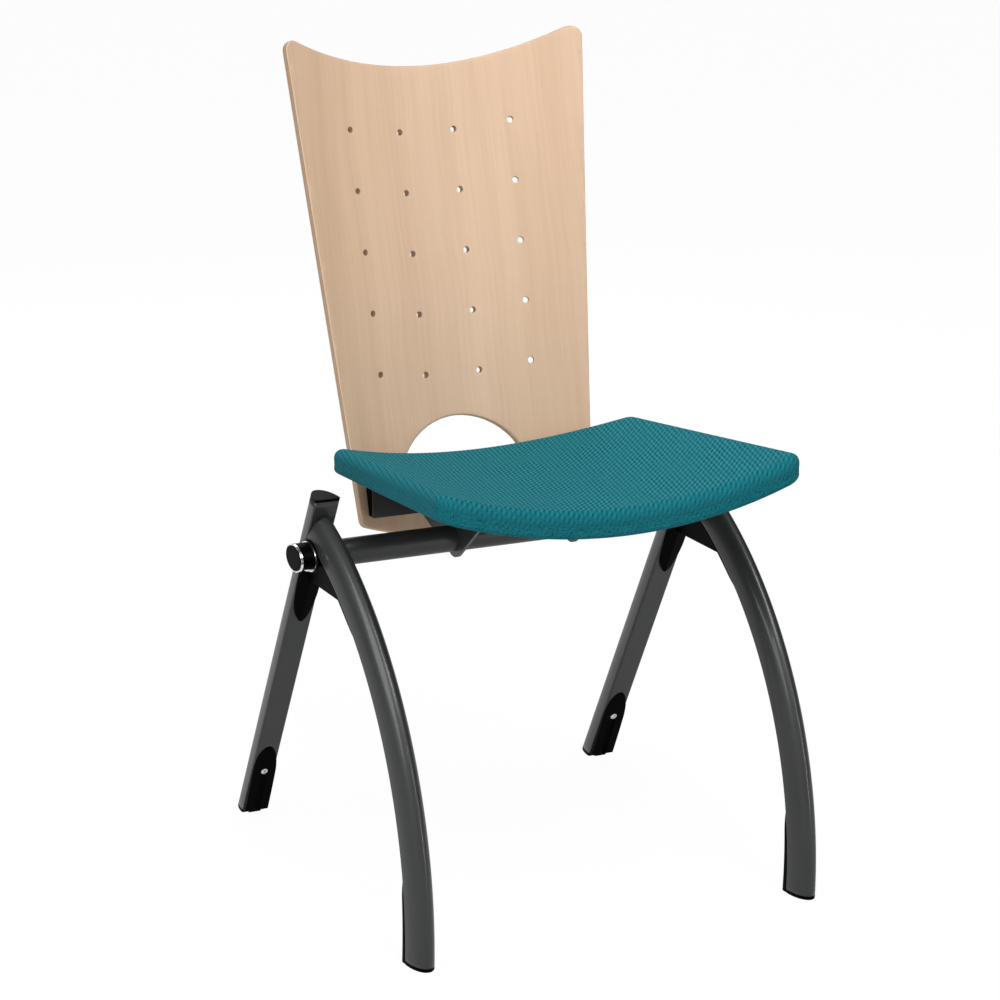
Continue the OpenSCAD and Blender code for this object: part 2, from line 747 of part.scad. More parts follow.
module knob_inner_ring() {
    color(chrome_c) difference() {
        union() {
            hub_oval(inner_ring_x, inner_ring_x + inner_ring_w, sleeve_bore - fit);
            intersection() {
                window(sleeve_window - inner_ring_w);
                hub_oval(inner_ring_x, inner_ring_x + inner_ring_w, 0);
            }
        }
        hub_rod(sleeve_x, ring_x, core_d + 2 * fit);
    }
}

module knob_ring() {
    color(chrome_c) difference() {
        hub_oval(ring_x, ring_end_x, 0);
        hub_oval(ring_x - cut, ring_end_x + cut, -ring_wall);
    }
}

module knob_face() {
    color(plastic_c) hub_oval(ring_x, knob_end_x, -ring_wall - fit);
}

// Seat frame over the cross-bar: x across, y down the slope to the rear, z square to the seat; the
// trough's lowest line at z = 0
module seat_frame() {
    translate([0, hub_y, seat_z]) rotate([-seat_slope, 0, 0]) children();
}
under_z = -seat_t * cos(seat_slope);

// Seat section along y between two heights of the same trough
module trough_slab(low, high) {
    rotate([90, 0, 0]) linear_extrude(height = reach, center = true) difference() {
        intersection() {
            translate([0, low + seat_bend_r]) circle(r = seat_bend_r, $fn = 2 * arc_fn);
            translate([-base_d, low]) square([2 * base_d, seat_bend_r / 2]);
        }
        translate([0, high + seat_bend_r]) circle(r = seat_bend_r, $fn = 2 * arc_fn);
    }
}

// The rail's frame: its origin on the board's underside over the carrier plate, z square to it
module rail_frame(y) {
    seat_frame() translate([carrier_x, y, under_z + hollow(seat_bend_r, carrier_x)])
        rotate([0, -asin(carrier_x / seat_bend_r), 0]) children();
}

// Height of the rail's middle over the carrier plate at some depth
function rail_z(y) = seat_top(carrier_x, y - hub_y) - seat_t - carrier_t / 2;

hook_r = bar_d / 2 + hook_w;
edge_dir = [-cos(carrier_slope), sin(carrier_slope)];
edge_foot = hub - hook_r * [sin(carrier_slope), cos(carrier_slope)];
edge_l = (rail_z(edge_foot[0]) - edge_foot[1]) / (edge_dir[1] + edge_dir[0] * tan(seat_slope));
block_corner = [block_y, block_z];
rear_reach = norm(block_corner - hub);
rear_a = atan2(block_corner[1] - hub_z, block_corner[0] - hub_y) - acos(hook_r / rear_reach);
tab_top = block_z + block_h;
block_mid_z = block_z + block_h / 2;

// Seat carrier: upright plate hooked round the cross-bar, rail under the seat and tab for the back
module carrier() {
    color(steel_c) difference() {
        union() {
            plate(carrier_x, carrier_t) {
                translate(hub) circle(r = hook_r, $fn = round_fn);
                polygon([hub, edge_foot, edge_foot + edge_l * edge_dir, [block_y, rail_z(block_y)],
                    block_corner, hub + hook_r * [cos(rear_a), sin(rear_a)]]);
            }
            difference() {
                rail_frame(0) translate([-rail_w / 2, -rail_front, -carrier_t])
                    cube([rail_w, rail_front + rail_rear, carrier_t + cut]);
                seat_frame() translate([0, reach / 2, under_z + seat_bend_r]) rotate([90, 0, 0])
                    cylinder(h = reach, r = seat_bend_r, $fn = 2 * arc_fn);
            }
            translate([carrier_x - carrier_t / 2, block_y - carrier_t, block_z])
                cube([block_out_x - carrier_x + carrier_t / 2, carrier_t, block_h]);
        }
        hub_rod(0, 2 * carrier_x, bar_d);
        for (y = [-seat_screw_front, seat_screw_rear]) rail_frame(y) translate([rail_w / 4, 0, -reach / 2])
            cylinder(h = reach / 2 + cut, d = screw_d + 2 * fit, $fn = small_fn);
        block_screw_places() cylinder(h = 2 * carrier_t, d = screw_d + 2 * fit, $fn = small_fn);
    }
}

// Places of the two screws of a block: origin on the tab's front face, +Z backwards
module block_screw_places() {
    for (dx = [-block_screw_gap / 2, block_screw_gap / 2])
        translate([block_screw_x + dx, block_y - carrier_t, block_mid_z]) rotate([-90, 0, 0]) children();
}
block_grip = 2 * screw_d;

module block_screws() {
    color(zinc_c) for (s = [-1, 1]) side(s) block_screw_places() translate([0, 0, -screw_head_t])
        screw(screw_head_d, screw_head_t, screw_d, screw_head_t + carrier_t + block_grip);
}

// Back frame: x across, y backwards through the panel, z up its slope
module back_frame() {
    translate([0, back_foot_y, back_foot_z]) rotate([-back_recline, 0, 0]) children();
}

// Frame of a point on the panel's front face: +Z out through the panel
module back_point(x, up) {
    back_frame() translate([0, -back_bend_r, up]) rotate([0, 0, -asin(x / back_bend_r)])
        translate([0, back_bend_r, 0]) rotate([-90, 0, 0]) children();
}

// Height up the panel of a bolt in a block's middle
function bolt_up(x) =
    (block_mid_z - back_foot_z - hollow(back_bend_r, x) * sin(back_recline)) / cos(back_recline);

// Wedge block between the carrier's tab and the hollow panel
module back_block() {
    color(plastic_c) difference() {
        intersection() {
            translate([0, 0, block_z]) linear_extrude(height = block_h)
                polygon([[block_in_x, block_y], [block_out_x, block_y],
                    [block_out_x, block_y + base_d], [block_in_x, block_y + base_d]]);
            back_frame() translate([0, -back_bend_r, -back_h])
                cylinder(h = 2 * back_h, r = back_bend_r, $fn = arc_fn);
        }
        block_screw_places() cylinder(h = carrier_t + block_grip, d = screw_d + fit, $fn = small_fn);
        for (x = [back_bolt_in_x, back_bolt_out_x]) back_point(x, bolt_up(x)) translate([0, 0, -back_bolt_grip])
            cylinder(h = 2 * back_bolt_grip, d = back_bolt_d + fit, $fn = small_fn);
    }
}

module back_bolts() {
    color(zinc_c) for (s = [-1, 1], x = [back_bolt_in_x, back_bolt_out_x]) side(s) back_point(x, bolt_up(x))
        translate([0, 0, back_t + back_head_t]) mirror([0, 0, 1])
            screw(back_head_d, back_head_t, back_bolt_d, back_head_t + back_t + back_bolt_grip - cut);
}

// Hand hole: an arc over a straight side, with rounded corners
hand_corner_y = hand_base + hand_corner_r - hand_centre;
hand_corner_x = sqrt(pow(hand_r - hand_corner_r, 2) - pow(hand_corner_y, 2));
hand_a = atan2(hand_corner_y, hand_corner_x);
hand_outline = concat(
    [for (i = [0:fillet_n]) let(a = -90 + (hand_a + 90) * i / fillet_n)
        [hand_corner_x, hand_base + hand_corner_r] + hand_corner_r * [cos(a), sin(a)]],
    [for (i = [1:2 * edge_n - 1]) let(a = hand_a + (180 - 2 * hand_a) * i / (2 * edge_n))
        [0, hand_centre] + hand_r * [cos(a), sin(a)]],
    [for (i = [fillet_n:-1:0]) let(a = -90 + (hand_a + 90) * i / fillet_n)
        [-hand_corner_x - hand_corner_r * cos(a), hand_base + hand_corner_r + hand_corner_r * sin(a)]]);

// Back panel of bent plywood with vent holes, hand hole and bolt holes
module back_panel() {
    color(beech_c) difference() {
        intersection() {
            back_frame() translate([0, -back_bend_r, -back_h / 2]) difference() {
                cylinder(h = 2 * back_h, r = back_bend_r + back_t, $fn = arc_fn);
                translate([0, 0, -cut]) cylinder(h = 2 * back_h + 2 * cut, r = back_bend_r, $fn = arc_fn);
            }
            back_frame() rotate([90, 0, 0]) translate([0, 0, -back_bend_r])
                linear_extrude(height = 2 * back_bend_r - back_t) difference() {
                    polygon(back_outline);
                    polygon(hand_outline);
                }
        }
        for (s = [-1, 1], row = [0:vent_rows - 1]) {
            up = vent_first + row * vent_pitch;
            back_hole(s * vent_inner_x, up, vent_d);
            back_hole(s * (vent_outer_x + row * vent_spread), up + vent_rise, vent_d);
        }
        for (x = [-back_bolt_out_x, -back_bolt_in_x, back_bolt_in_x, back_bolt_out_x])
            back_hole(x, bolt_up(x), back_bolt_d + 2 * fit);
    }
}

module back_hole(x, up, d) {
    back_point(x, up) translate([0, 0, -cut]) cylinder(h = back_t + 2 * cut, d = d, $fn = small_fn);
}

// Seat board of plywood, bent like the seat, with blind holes for its inserts
module seat_board() {
    color(board_c) difference() {
        intersection() {
            seat_frame() trough_slab(under_z, under_z + board_t);
            translate([0, hub_y, 0]) linear_extrude(height = reach)
                polygon(seat_ring(board_inset + soft_gap));
        }
        seat_screw_places() translate([0, 0, -cut])
            cylinder(h = insert_l + fit + cut, d = insert_d, $fn = small_fn);
    }
}

module seat_screw_places() {
    for (s = [-1, 1], y = [-seat_screw_front, seat_screw_rear]) side(s) rail_frame(y)
        translate([rail_w / 4, 0, 0]) children();
}

module seat_inserts() {
    color(zinc_c) seat_screw_places() translate([0, 0, fit]) difference() {
        cylinder(h = insert_l, d = insert_d, $fn = small_fn);
        translate([0, 0, -cut]) cylinder(h = insert_l + 2 * cut, d = screw_d + fit, $fn = small_fn);
    }
}

module seat_screws() {
    color(zinc_c) seat_screw_places() translate([0, 0, -carrier_t - screw_head_t])
        screw(screw_head_d, screw_head_t, screw_d, screw_head_t + carrier_t + insert_l - cut);
}

// Seat cushion: foam and cover in one, crowned, with drawn-in sides and a recess for the board
ceiling = board_t + soft_gap - seat_t;
side_mid = (pad_bottom_r - seat_t - pad_top_r) / 2;
pad_rings = concat(
    [for (s = ceiling_shares) raised(shrunk(seat_ring(board_inset), s), ceiling)],
    [raised(seat_ring(board_inset), -seat_t)],
    [for (i = [0:round_n]) let(a = 90 * i / round_n)
        raised(seat_ring(pad_bottom_r * (1 - sin(a))), pad_bottom_r * (1 - cos(a)) - seat_t)],
    [raised(seat_ring(pad_draw), side_mid)],
    [for (i = [0:round_n]) let(a = 90 * i / round_n)
        raised(seat_ring(pad_top_r * (1 - cos(a))), pad_top_r * (sin(a) - 1))],
    [for (s = crown_shares) raised(shrunk(seat_ring(pad_top_r), s), pad_crown * (1 - s * s))]);

module seat_cushion() {
    n = len(pad_rings[0]);
    low = len(pad_rings) * n;
    high = low + 1;
    points = concat([for (ring = pad_rings) each ring],
        [for (lift = [ceiling, pad_crown]) [0, seat_mid_y, seat_top(0, seat_mid_y) + lift]]);
    faces = concat(
        [for (i = [0:n - 1]) [low, i, (i + 1) % n]],
        [for (k = [0:n:low - 2 * n], i = [0:n - 1]) [k + i, k + n + (i + 1) % n, k + (i + 1) % n]],
        [for (k = [0:n:low - 2 * n], i = [0:n - 1]) [k + i, k + n + i, k + n + (i + 1) % n]],
        [for (i = [0:n - 1]) [low - n + i, high, low - n + (i + 1) % n]]);
    color(fabric_c) translate([0, hub_y, 0]) polyhedron(points = points, faces = faces, convexity = 6);
}

side(1) rear_leg();  // rear_leg_left
side(-1) rear_leg();  // rear_leg_right
side(1) front_leg();  // front_leg_left
side(-1) front_leg();  // front_leg_right
side(1) leg_cap();  // leg_cap_left
side(-1) leg_cap();  // leg_cap_right
side(1) rear_glide();  // rear_glide_left
side(-1) rear_glide();  // rear_glide_right
side(1) front_glide();  // front_glide_left
side(-1) front_glide();  // front_glide_right
glide_screws();
side(1) joint();  // joint_left
side(-1) joint();  // joint_right
crossbar();
side(1) bar_plug();  // bar_plug_left
side(-1) bar_plug();  // bar_plug_right
side(1) knob_stud();  // knob_stud_left
side(-1) knob_stud();  // knob_stud_right
side(1) knob_washer();  // knob_washer_left
side(-1) knob_washer();  // knob_washer_right
side(1) knob_sleeve();  // knob_sleeve_left
side(-1) knob_sleeve();  // knob_sleeve_right
side(1) knob_ring();  // knob_ring_left
side(-1) knob_ring();  // knob_ring_right
side(1) knob_inner_ring();  // knob_inner_ring_left
side(-1) knob_inner_ring();  // knob_inner_ring_right
side(1) knob_face();  // knob_face_left
side(-1) knob_face();  // knob_face_right
side(1) carrier();  // carrier_left
side(-1) carrier();  // carrier_right
side(1) back_block();  // back_block_left
side(-1) back_block();  // back_block_right
block_screws();
back_bolts();
back_panel();
seat_board();
seat_inserts();
seat_screws();
seat_cushion();
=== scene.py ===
"""Looks of a nesting side chair: two black leg frames, a cross-bar, an upholstered seat and a plywood back.

Metres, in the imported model's frame: +Z up, +X the sitter's left, -Y the front, origin on the floor.
"""

import json
import math

import bmesh
import bpy
import numpy as np
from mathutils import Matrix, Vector
from mathutils.geometry import delaunay_2d_cdt


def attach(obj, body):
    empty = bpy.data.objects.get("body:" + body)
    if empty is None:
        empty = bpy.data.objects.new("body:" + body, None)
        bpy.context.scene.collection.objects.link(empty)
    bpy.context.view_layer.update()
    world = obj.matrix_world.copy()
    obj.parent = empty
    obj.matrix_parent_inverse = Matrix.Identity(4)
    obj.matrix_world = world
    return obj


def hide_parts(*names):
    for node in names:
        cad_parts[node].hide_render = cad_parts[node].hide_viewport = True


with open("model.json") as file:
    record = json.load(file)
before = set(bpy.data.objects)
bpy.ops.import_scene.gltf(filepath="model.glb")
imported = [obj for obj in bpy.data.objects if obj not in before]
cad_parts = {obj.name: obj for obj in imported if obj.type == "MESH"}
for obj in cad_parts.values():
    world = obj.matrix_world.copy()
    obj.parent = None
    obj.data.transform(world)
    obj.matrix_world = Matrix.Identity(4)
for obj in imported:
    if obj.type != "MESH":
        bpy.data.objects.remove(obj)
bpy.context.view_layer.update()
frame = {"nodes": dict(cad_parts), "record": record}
scene = bpy.context.scene
scene.view_settings.view_transform = "Standard"

# Camera
# A long lens on the sitter's right and a little above, so that the front, the right side and the top of
# the seat show at once.
SENSOR_W = 36.0
LENS = 109.66
CAMERA_PLACE = (-1.44786, -3.0507, 1.34379)
LOOK_DOWN = math.radians(15.1773)
LOOK_ASIDE = math.radians(25.0839)
camera_data = bpy.data.cameras.new("camera")
camera_data.sensor_width = SENSOR_W
camera_data.lens = LENS
camera = bpy.data.objects.new("camera", camera_data)
camera.location = CAMERA_PLACE
camera.rotation_euler = (math.pi / 2 - LOOK_DOWN, 0, -LOOK_ASIDE)
scene.collection.objects.link(camera)
scene.camera = camera


# Studio
# A white floor that keeps a faint shadow, an even surround whose sides and rear are dimmed in
# reflections alone, as by black flags, broad soft lamps above, behind and on the sitter's right, and a
# narrow one that draws a line along the tubes.
class Wire:
    """An output socket that takes part in sums as a number does: each sum adds one Math node."""

    def __init__(self, finish, socket):
        self.finish = finish
        self.socket = socket

    def sum(self, operation, *values):
        return self.finish.node("ShaderNodeMath", {"operation": operation}, dict(enumerate(values)))

    def __add__(self, other):
        return self.sum("ADD", self, other)

    def __sub__(self, other):
        return self.sum("SUBTRACT", self, other)

    def __rsub__(self, other):
        return self.sum("SUBTRACT", other, self)

    def __mul__(self, other):
        return self.sum("MULTIPLY", self, other)

    def __truediv__(self, other):
        return self.sum("DIVIDE", self, other)

    def __pow__(self, other):
        return self.sum("POWER", self, other)

    def __gt__(self, other):
        return self.sum("GREATER_THAN", self, other)

    def __lt__(self, other):
        return self.sum("LESS_THAN", self, other)

    __radd__ = __add__
    __rmul__ = __mul__


class Finish:
    """One material. Constants go on the shader's own sockets; node() adds any other node."""

    def __init__(self, name, **constants):
        self.material = bpy.data.materials.new(name)
        self.material.use_nodes = True
        self.tree = self.material.node_tree
        self.shader = self.tree.nodes["Principled BSDF"]
        for key, value in constants.items():
            self.shader.inputs[key.replace("_", " ")].default_value = value

    def node(self, kind, settings=None, values=None, output=0):
        """A node of that kind: its settings first, then the values or links of its sockets."""
        made = self.tree.nodes.new(kind)
        for key, value in (settings or {}).items():
            if key == "stops":
                ramp = made.color_ramp
                while len(ramp.elements) < len(value):
                    ramp.elements.new(1.0)
                for element, (place, colour) in zip(ramp.elements, value):
                    element.position = place
                    element.color = (*colour, 1)
            else:
                setattr(made, key, value)
        for key, value in (values or {}).items():
            self.fill(made.inputs[key], value)
        return Wire(self, made.outputs[output])

    def fill(self, socket, value):
        if isinstance(value, Wire):
            self.tree.links.new(value.socket, socket)
        elif socket.type == "RGBA":
            socket.default_value = (*value, 1)
        else:
            socket.default_value = value

    def put(self, **values):
        for key, value in values.items():
            self.fill(self.shader.inputs[key.replace("_", " ")], value)
        return self

    def ray(self, kind):
        """1 for a ray of that kind and 0 for any other."""
        return self.node("ShaderNodeLightPath", output=f"Is {kind} Ray")

    def place(self):
        return self.node("ShaderNodeTexCoord", output="Object")

    def stretched(self, source, scale):
        return self.node("ShaderNodeMapping", None, {"Vector": source, "Scale": scale})

    def split(self, source):
        made = self.node("ShaderNodeSeparateXYZ", None, {0: source})
        return [Wire(self, made.socket.node.outputs[i]) for i in range(3)]

    def join(self, x, y, z):
        return self.node("ShaderNodeCombineXYZ", None, {"X": x, "Y": y, "Z": z})

    def noise(self, source, scale, detail=3.0, rough=0.5):
        values = {"Vector": source, "Scale": scale, "Detail": detail, "Roughness": rough}
        return self.node("ShaderNodeTexNoise", None, values)

    def mix(self, share, first, second):
        return self.node("ShaderNodeMix", {"data_type": "RGBA"}, {0: share, 6: first, 7: second}, output=2)

    def ramp(self, share, *stops):
        return self.node("ShaderNodeValToRGB", {"stops": stops}, {0: share})

    def bump(self, height, distance, strength, normal=None):
        values = {"Height": height, "Distance": distance, "Strength": strength}
        return self.node("ShaderNodeBump", None, values if normal is None else {**values, "Normal": normal})


FLOOR_REACH = 20.0
PAPER_GREY = 0.7
GLOW = 1.03
SEEN_GLOW = 0.92
MIRRORED_GLOW = 0.4
floor_corners = [(x * FLOOR_REACH, y * FLOOR_REACH, 0) for x, y in ((-1, -1), (1, -1), (1, 1), (-1, 1))]
floor_mesh = bpy.data.meshes.new("floor")
floor_mesh.from_pydata(floor_corners, [], [(0, 1, 2, 3)])
floor = bpy.data.objects.new("floor", floor_mesh)
scene.collection.objects.link(floor)
paper = Finish("floor_paper", Base_Color=(PAPER_GREY, PAPER_GREY, PAPER_GREY, 1), Roughness=0.9)
shown_white = SEEN_GLOW * paper.ray("Camera") + MIRRORED_GLOW * paper.ray("Glossy")
glow = paper.node("ShaderNodeEmission", None, {"Color": (1, 1, 1), "Strength": GLOW})
lit = Wire(paper, paper.shader.outputs[0])
both = paper.node("ShaderNodeMixShader", None, {0: shown_white, 1: lit, 2: glow})
paper.tree.links.new(both.socket, paper.tree.nodes["Material Output"].inputs["Surface"])
floor_mesh.materials.append(paper.material)


class Surround(Finish):
    """The world's nodes, written in the way of a finish."""

    def __init__(self, world):
        world.use_nodes = True
        self.tree = world.node_tree
        self.shader = self.tree.nodes["Background"]


# The surround is brightest, in a reflection, towards the front and above, and darkest away from there.
AMBIENT = 0.5
BRIGHT_WAY = (-0.30, -0.74, 0.60)
FLAGS = {"From Min": 0.1, "From Max": 0.8, "To Min": 0.47, "To Max": 0.0}
scene.world = bpy.data.worlds.new("surround")
sky = Surround(scene.world)
across, along, up = sky.split(sky.node("ShaderNodeTexCoord", output="Generated"))
toward = across * BRIGHT_WAY[0] + along * BRIGHT_WAY[1] + up * BRIGHT_WAY[2]
flags = sky.node("ShaderNodeMapRange", {"interpolation_type": "SMOOTHSTEP"}, {"Value": toward, **FLAGS})
glare = AMBIENT + (1 - AMBIENT) * sky.ray("Camera") - flags * sky.ray("Glossy")
sky.put(Color=(1, 1, 1), Strength=glare)

LAMP_AIM = Vector((0, 0, 0.45))


def soft_lamp(name, place, size, power, lights=True, shines=True):
    """A rectangular lamp that looks at the chair. One that doesn't light is only reflected, and one that
    doesn't shine only lights."""
    data = bpy.data.lights.new(name, "AREA")
    data.shape = "RECTANGLE"
    data.size, data.size_y = size
    data.energy = power
    lamp = bpy.data.objects.new(name, data)
    lamp.location = place
    lamp.rotation_euler = (LAMP_AIM - Vector(place)).to_track_quat("-Z", "Y").to_euler()
    lamp.visible_diffuse = lights
    lamp.visible_glossy = shines
    scene.collection.objects.link(lamp)


soft_lamp("top", place=(-0.2, -2.35, 4.4), size=(3.0, 2.6), power=122)
soft_lamp("fill", place=(-2.2, -3.4, 1.5), size=(2.0, 1.5), power=20, shines=False)
soft_lamp("rear", place=(0.6, 3.0, 2.0), size=(2.5, 1.5), power=26)
soft_lamp("heart", place=(0.4, -2.3, 4.3), size=(1.7, 1.9), power=100, lights=False)
soft_lamp("side", place=(-3.5, -0.5, 2.6), size=(3.2, 2.6), power=32)
soft_lamp("side_sheen", place=(-3.45, -0.5, 2.55), size=(3.1, 2.5), power=135, lights=False)
soft_lamp("strip", place=(1.25, -2.75, 0.9), size=(0.06, 2.2), power=30, lights=False)


# Leg frames
# Each side has a straight rear leg and an arched front leg of one D-shaped steel tube, with their flat
# faces turned to each other, mitred together under the rear leg's cap and coated satin graphite.
SIDES = (("left", 1), ("right", -1))
LEG_X = 0.2369
LEG_W = 0.0297
LEG_D = 0.0326
LEG_WALL = 0.002
LEG_CORNER = 0.0022
LEAST_CORNER = 0.0001
BASE_D = 0.5711
LEAN = math.radians(29.73)
REAR_OVER = 0.026
ARC_R = 0.409
ARC_Z = 0.0243
ARC_Y = ARC_R + LEG_D - BASE_D / 2
SOLE_T = 0.0042
CAP_T = 0.004
CAP_SLOPE = math.radians(3)
CAP_LEAN = LEAN - CAP_SLOPE
FOOT_Y = BASE_D / 2 - LEG_D / math.cos(LEAN)
ALONG = np.array([-math.sin(LEAN), math.cos(LEAN)])
GRAPHITE_DARK = (0.018, 0.019, 0.020)
GRAPHITE_PALE = (0.024, 0.025, 0.026)


def along_rear(start, radius):
    """Distance from a (y, z) start, parallel to the rear leg, to a circle about the front arc's centre."""
    off_y = start[0] - ARC_Y
    off_z = start[1] - ARC_Z
    b = off_y * ALONG[0] + off_z * ALONG[1]
    return np.sqrt(b * b - off_y * off_y - off_z * off_z + radius * radius) - b


REAR_L = along_rear((FOOT_Y, 0), ARC_R + LEG_D) + REAR_OVER


def leg_section(inset):
    """D section: a flat side, two small round corners and a half ellipse, as (across, depth) points."""
    w = LEG_W - 2 * inset
    d = LEG_D - 2 * inset
    r = max(LEG_CORNER - inset, LEAST_CORNER)
    turn = np.linspace(0, math.pi / 2, 7)
    corner = np.stack([w / 2 - r + r * np.sin(turn), r - r * np.cos(turn)], -1)
    start = math.asin(r / d)
    sweep = np.linspace(start, math.pi - start, 60)[1:-1]
    crest = np.stack([w / 2 * np.cos(sweep), d * np.sin(sweep)], -1)
    flat_x = np.linspace(r - w / 2, w / 2 - r, 12)[1:-1]
    flat = np.stack([flat_x, np.zeros_like(flat_x)], -1)
    section = np.concatenate([corner, crest, (corner * [-1, 1])[::-1], flat])
    return section + [0, inset]


def rear_tube(side, inset):
    """Straight sweep of the section between the floor glide's top and the slanting cap's underside."""
    section = leg_section(inset)
    x, y = section[:, 0], section[:, 1]
    low = (SOLE_T - y * math.sin(LEAN)) / math.cos(LEAN)
    high = REAR_L - (CAP_T + y * math.sin(CAP_LEAN)) / math.cos(CAP_LEAN)
    share = np.linspace(0, 1, 60)[:, None]
    z = low + (high - low) * share
    depth = FOOT_Y + y * math.cos(LEAN) - z * math.sin(LEAN)
    height = y * math.sin(LEAN) + z * math.cos(LEAN)
    return np.stack([np.broadcast_to(side * (LEG_X + x), z.shape), depth, height], -1)


def front_tube(side, inset):
    """Arc sweep of the section from the floor glide's top to the rear leg's flat face."""
    section = leg_section(inset)
    radius = ARC_R + section[:, 1]
    low = np.arcsin((SOLE_T - ARC_Z) / radius)
    run = along_rear((FOOT_Y, 0), radius)
    high = np.arctan2(run * ALONG[1] - ARC_Z, ARC_Y - FOOT_Y - run * ALONG[0])
    angle = low + (high - low) * np.linspace(0, 1, 120)[:, None]
    return np.stack([np.broadcast_to(side * (LEG_X + section[:, 0]), angle.shape),
                     ARC_Y - radius * np.cos(angle), ARC_Z + radius * np.sin(angle)], -1)


def grid_faces(rows, columns, close_rows=False, close_columns=False):
    """Quads of a grid of points stored row by row, joined round where it closes."""
    i, j = np.meshgrid(np.arange(rows if close_rows else rows - 1),
                       np.arange(columns if close_columns else columns - 1), indexing="ij")
    i2 = (i + 1) % rows
    j2 = (j + 1) % columns
    corners = [i * columns + j, i * columns + j2, i2 * columns + j2, i2 * columns + j]
    return np.stack(corners, -1).reshape(-1, 4)


def hollow_tube(outer, inner):
    """Outer and inner walls of a tube and the two rings of metal that join them at its ends."""
    rows, columns = outer.shape[:2]
    loop = np.concatenate([outer, inner[::-1]])
    return loop.reshape(-1, 3), grid_faces(2 * rows, columns, close_rows=True, close_columns=True)


def add_piece(name, points, faces, finish, slot, nodes):
    """A smooth closed mesh in the chair's frame, riding on the chair, in place of CAD nodes."""
    mesh = bpy.data.meshes.new(name)
    mesh.from_pydata(np.asarray(points, float).tolist(), [], [list(map(int, face)) for face in faces])
    work = bmesh.new()
    work.from_mesh(mesh)
    bmesh.ops.remove_doubles(work, verts=work.verts, dist=1e-6)
    bmesh.ops.recalc_face_normals(work, faces=work.faces)
    work.to_mesh(mesh)
    work.free()
    mesh.polygons.foreach_set("use_smooth", np.full(len(mesh.polygons), True))
    mesh.materials.append(finish.material)
    piece = bpy.data.objects.new(name, mesh)
    scene.collection.objects.link(piece)
    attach(piece, "root")
    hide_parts(*nodes)
    return piece


def dress(slot, finish):
    """The CAD nodes of a slot take a finish and keep their shape."""
    for row in frame["record"]["subparts"]:
        if row["material_slot"] == slot:
            mesh = frame["nodes"][row["node"]].data
            mesh.materials.clear()
            mesh.materials.append(finish.material)


def satin_graphite():
    """Graphite powder coat: dark grey under a thin glossy skin, with a very fine orange peel."""
    made = Finish("graphite_coat", Specular_IOR_Level=0.35, Coat_Roughness=0.08, Coat_Weight=0.2)
    place = made.place()
    drift = made.noise(place, 14.0)
    peel = made.noise(place, 1400.0, detail=2.0)
    base = made.mix(drift, GRAPHITE_DARK, GRAPHITE_PALE)
    return made.put(Base_Color=base, Roughness=0.42 + 0.06 * drift, Normal=made.bump(peel, 0.00002, 0.2))


graphite = satin_graphite()
dress("steel", graphite)
for side_name, side in SIDES:
    for leg, tube in (("rear_leg", rear_tube), ("front_leg", front_tube)):
        node = f"{leg}_{side_name}"
        points, faces = hollow_tube(tube(side, 0), tube(side, LEG_WALL))
        add_piece(node + "_tube", points, faces, graphite, "steel", [node])


# Cross-bar
# A round steel tube between the two joint castings, drawn tight by the side knobs' studs. The two
# carriers hooked round it have the legs' coat too and keep their CAD shape.
BAR_R = 0.0154
BAR_WALL = 0.0025
BAR_END = LEG_X - LEG_W / 2
BAR_EDGE = 0.0004
HUB_TO_REAR = 0.0171
HUB_TO_FRONT = 0.0132
hub_start = (FOOT_Y - HUB_TO_REAR * math.cos(LEAN), -HUB_TO_REAR * math.sin(LEAN))
HUB_Y, HUB_Z = hub_start + along_rear(hub_start, ARC_R - HUB_TO_FRONT) * ALONG


def eased(profile, radius, steps=4):
    """A closed profile with each corner replaced by a small arc, so that its edges catch the light."""
    profile = np.asarray(profile, float)
    before = np.roll(profile, 1, 0) - profile
    after = np.roll(profile, -1, 0) - profile
    before /= np.linalg.norm(before, axis=1, keepdims=True)
    after /= np.linalg.norm(after, axis=1, keepdims=True)
    share = np.linspace(0, 1, steps)[:, None, None]
    blend = (1 - share) ** 2 * (profile + radius * before) + 2 * share * (1 - share) * profile
    return (blend + share ** 2 * (profile + radius * after)).transpose(1, 0, 2).reshape(-1, 2)


def turned(profile, steps=96):
    """A closed profile of (x, radius) points turned about the cross-bar's axis."""
    angle = np.linspace(0, 2 * math.pi, steps, endpoint=False)
    x = np.broadcast_to(profile[:, :1], (len(profile), steps))
    y = HUB_Y + profile[:, 1:] * np.sin(angle)
    z = HUB_Z + profile[:, 1:] * np.cos(angle)
    return np.stack([x, y, z], -1).reshape(-1, 3), grid_faces(len(profile), steps, True, True)


bar_bore = BAR_R - BAR_WALL
bar_profile = [(-BAR_END, BAR_R), (BAR_END, BAR_R), (BAR_END, bar_bore), (-BAR_END, bar_bore)]
add_piece("crossbar_tube", *turned(eased(bar_profile, BAR_EDGE)), graphite, "steel", ["crossbar"])


# Joints, glides, caps and blocks
# Black moulded plastic with a low sheen: the joints between the legs, the plugs in the tubes' ends, the
# knobs' studs, sleeves and faces, and the blocks that hold the back. They keep their CAD shape.
BLACK_DARK = (0.0008, 0.0008, 0.0008)
BLACK_PALE = (0.0016, 0.0016, 0.0016)
MOULD_EDGE = 0.0007


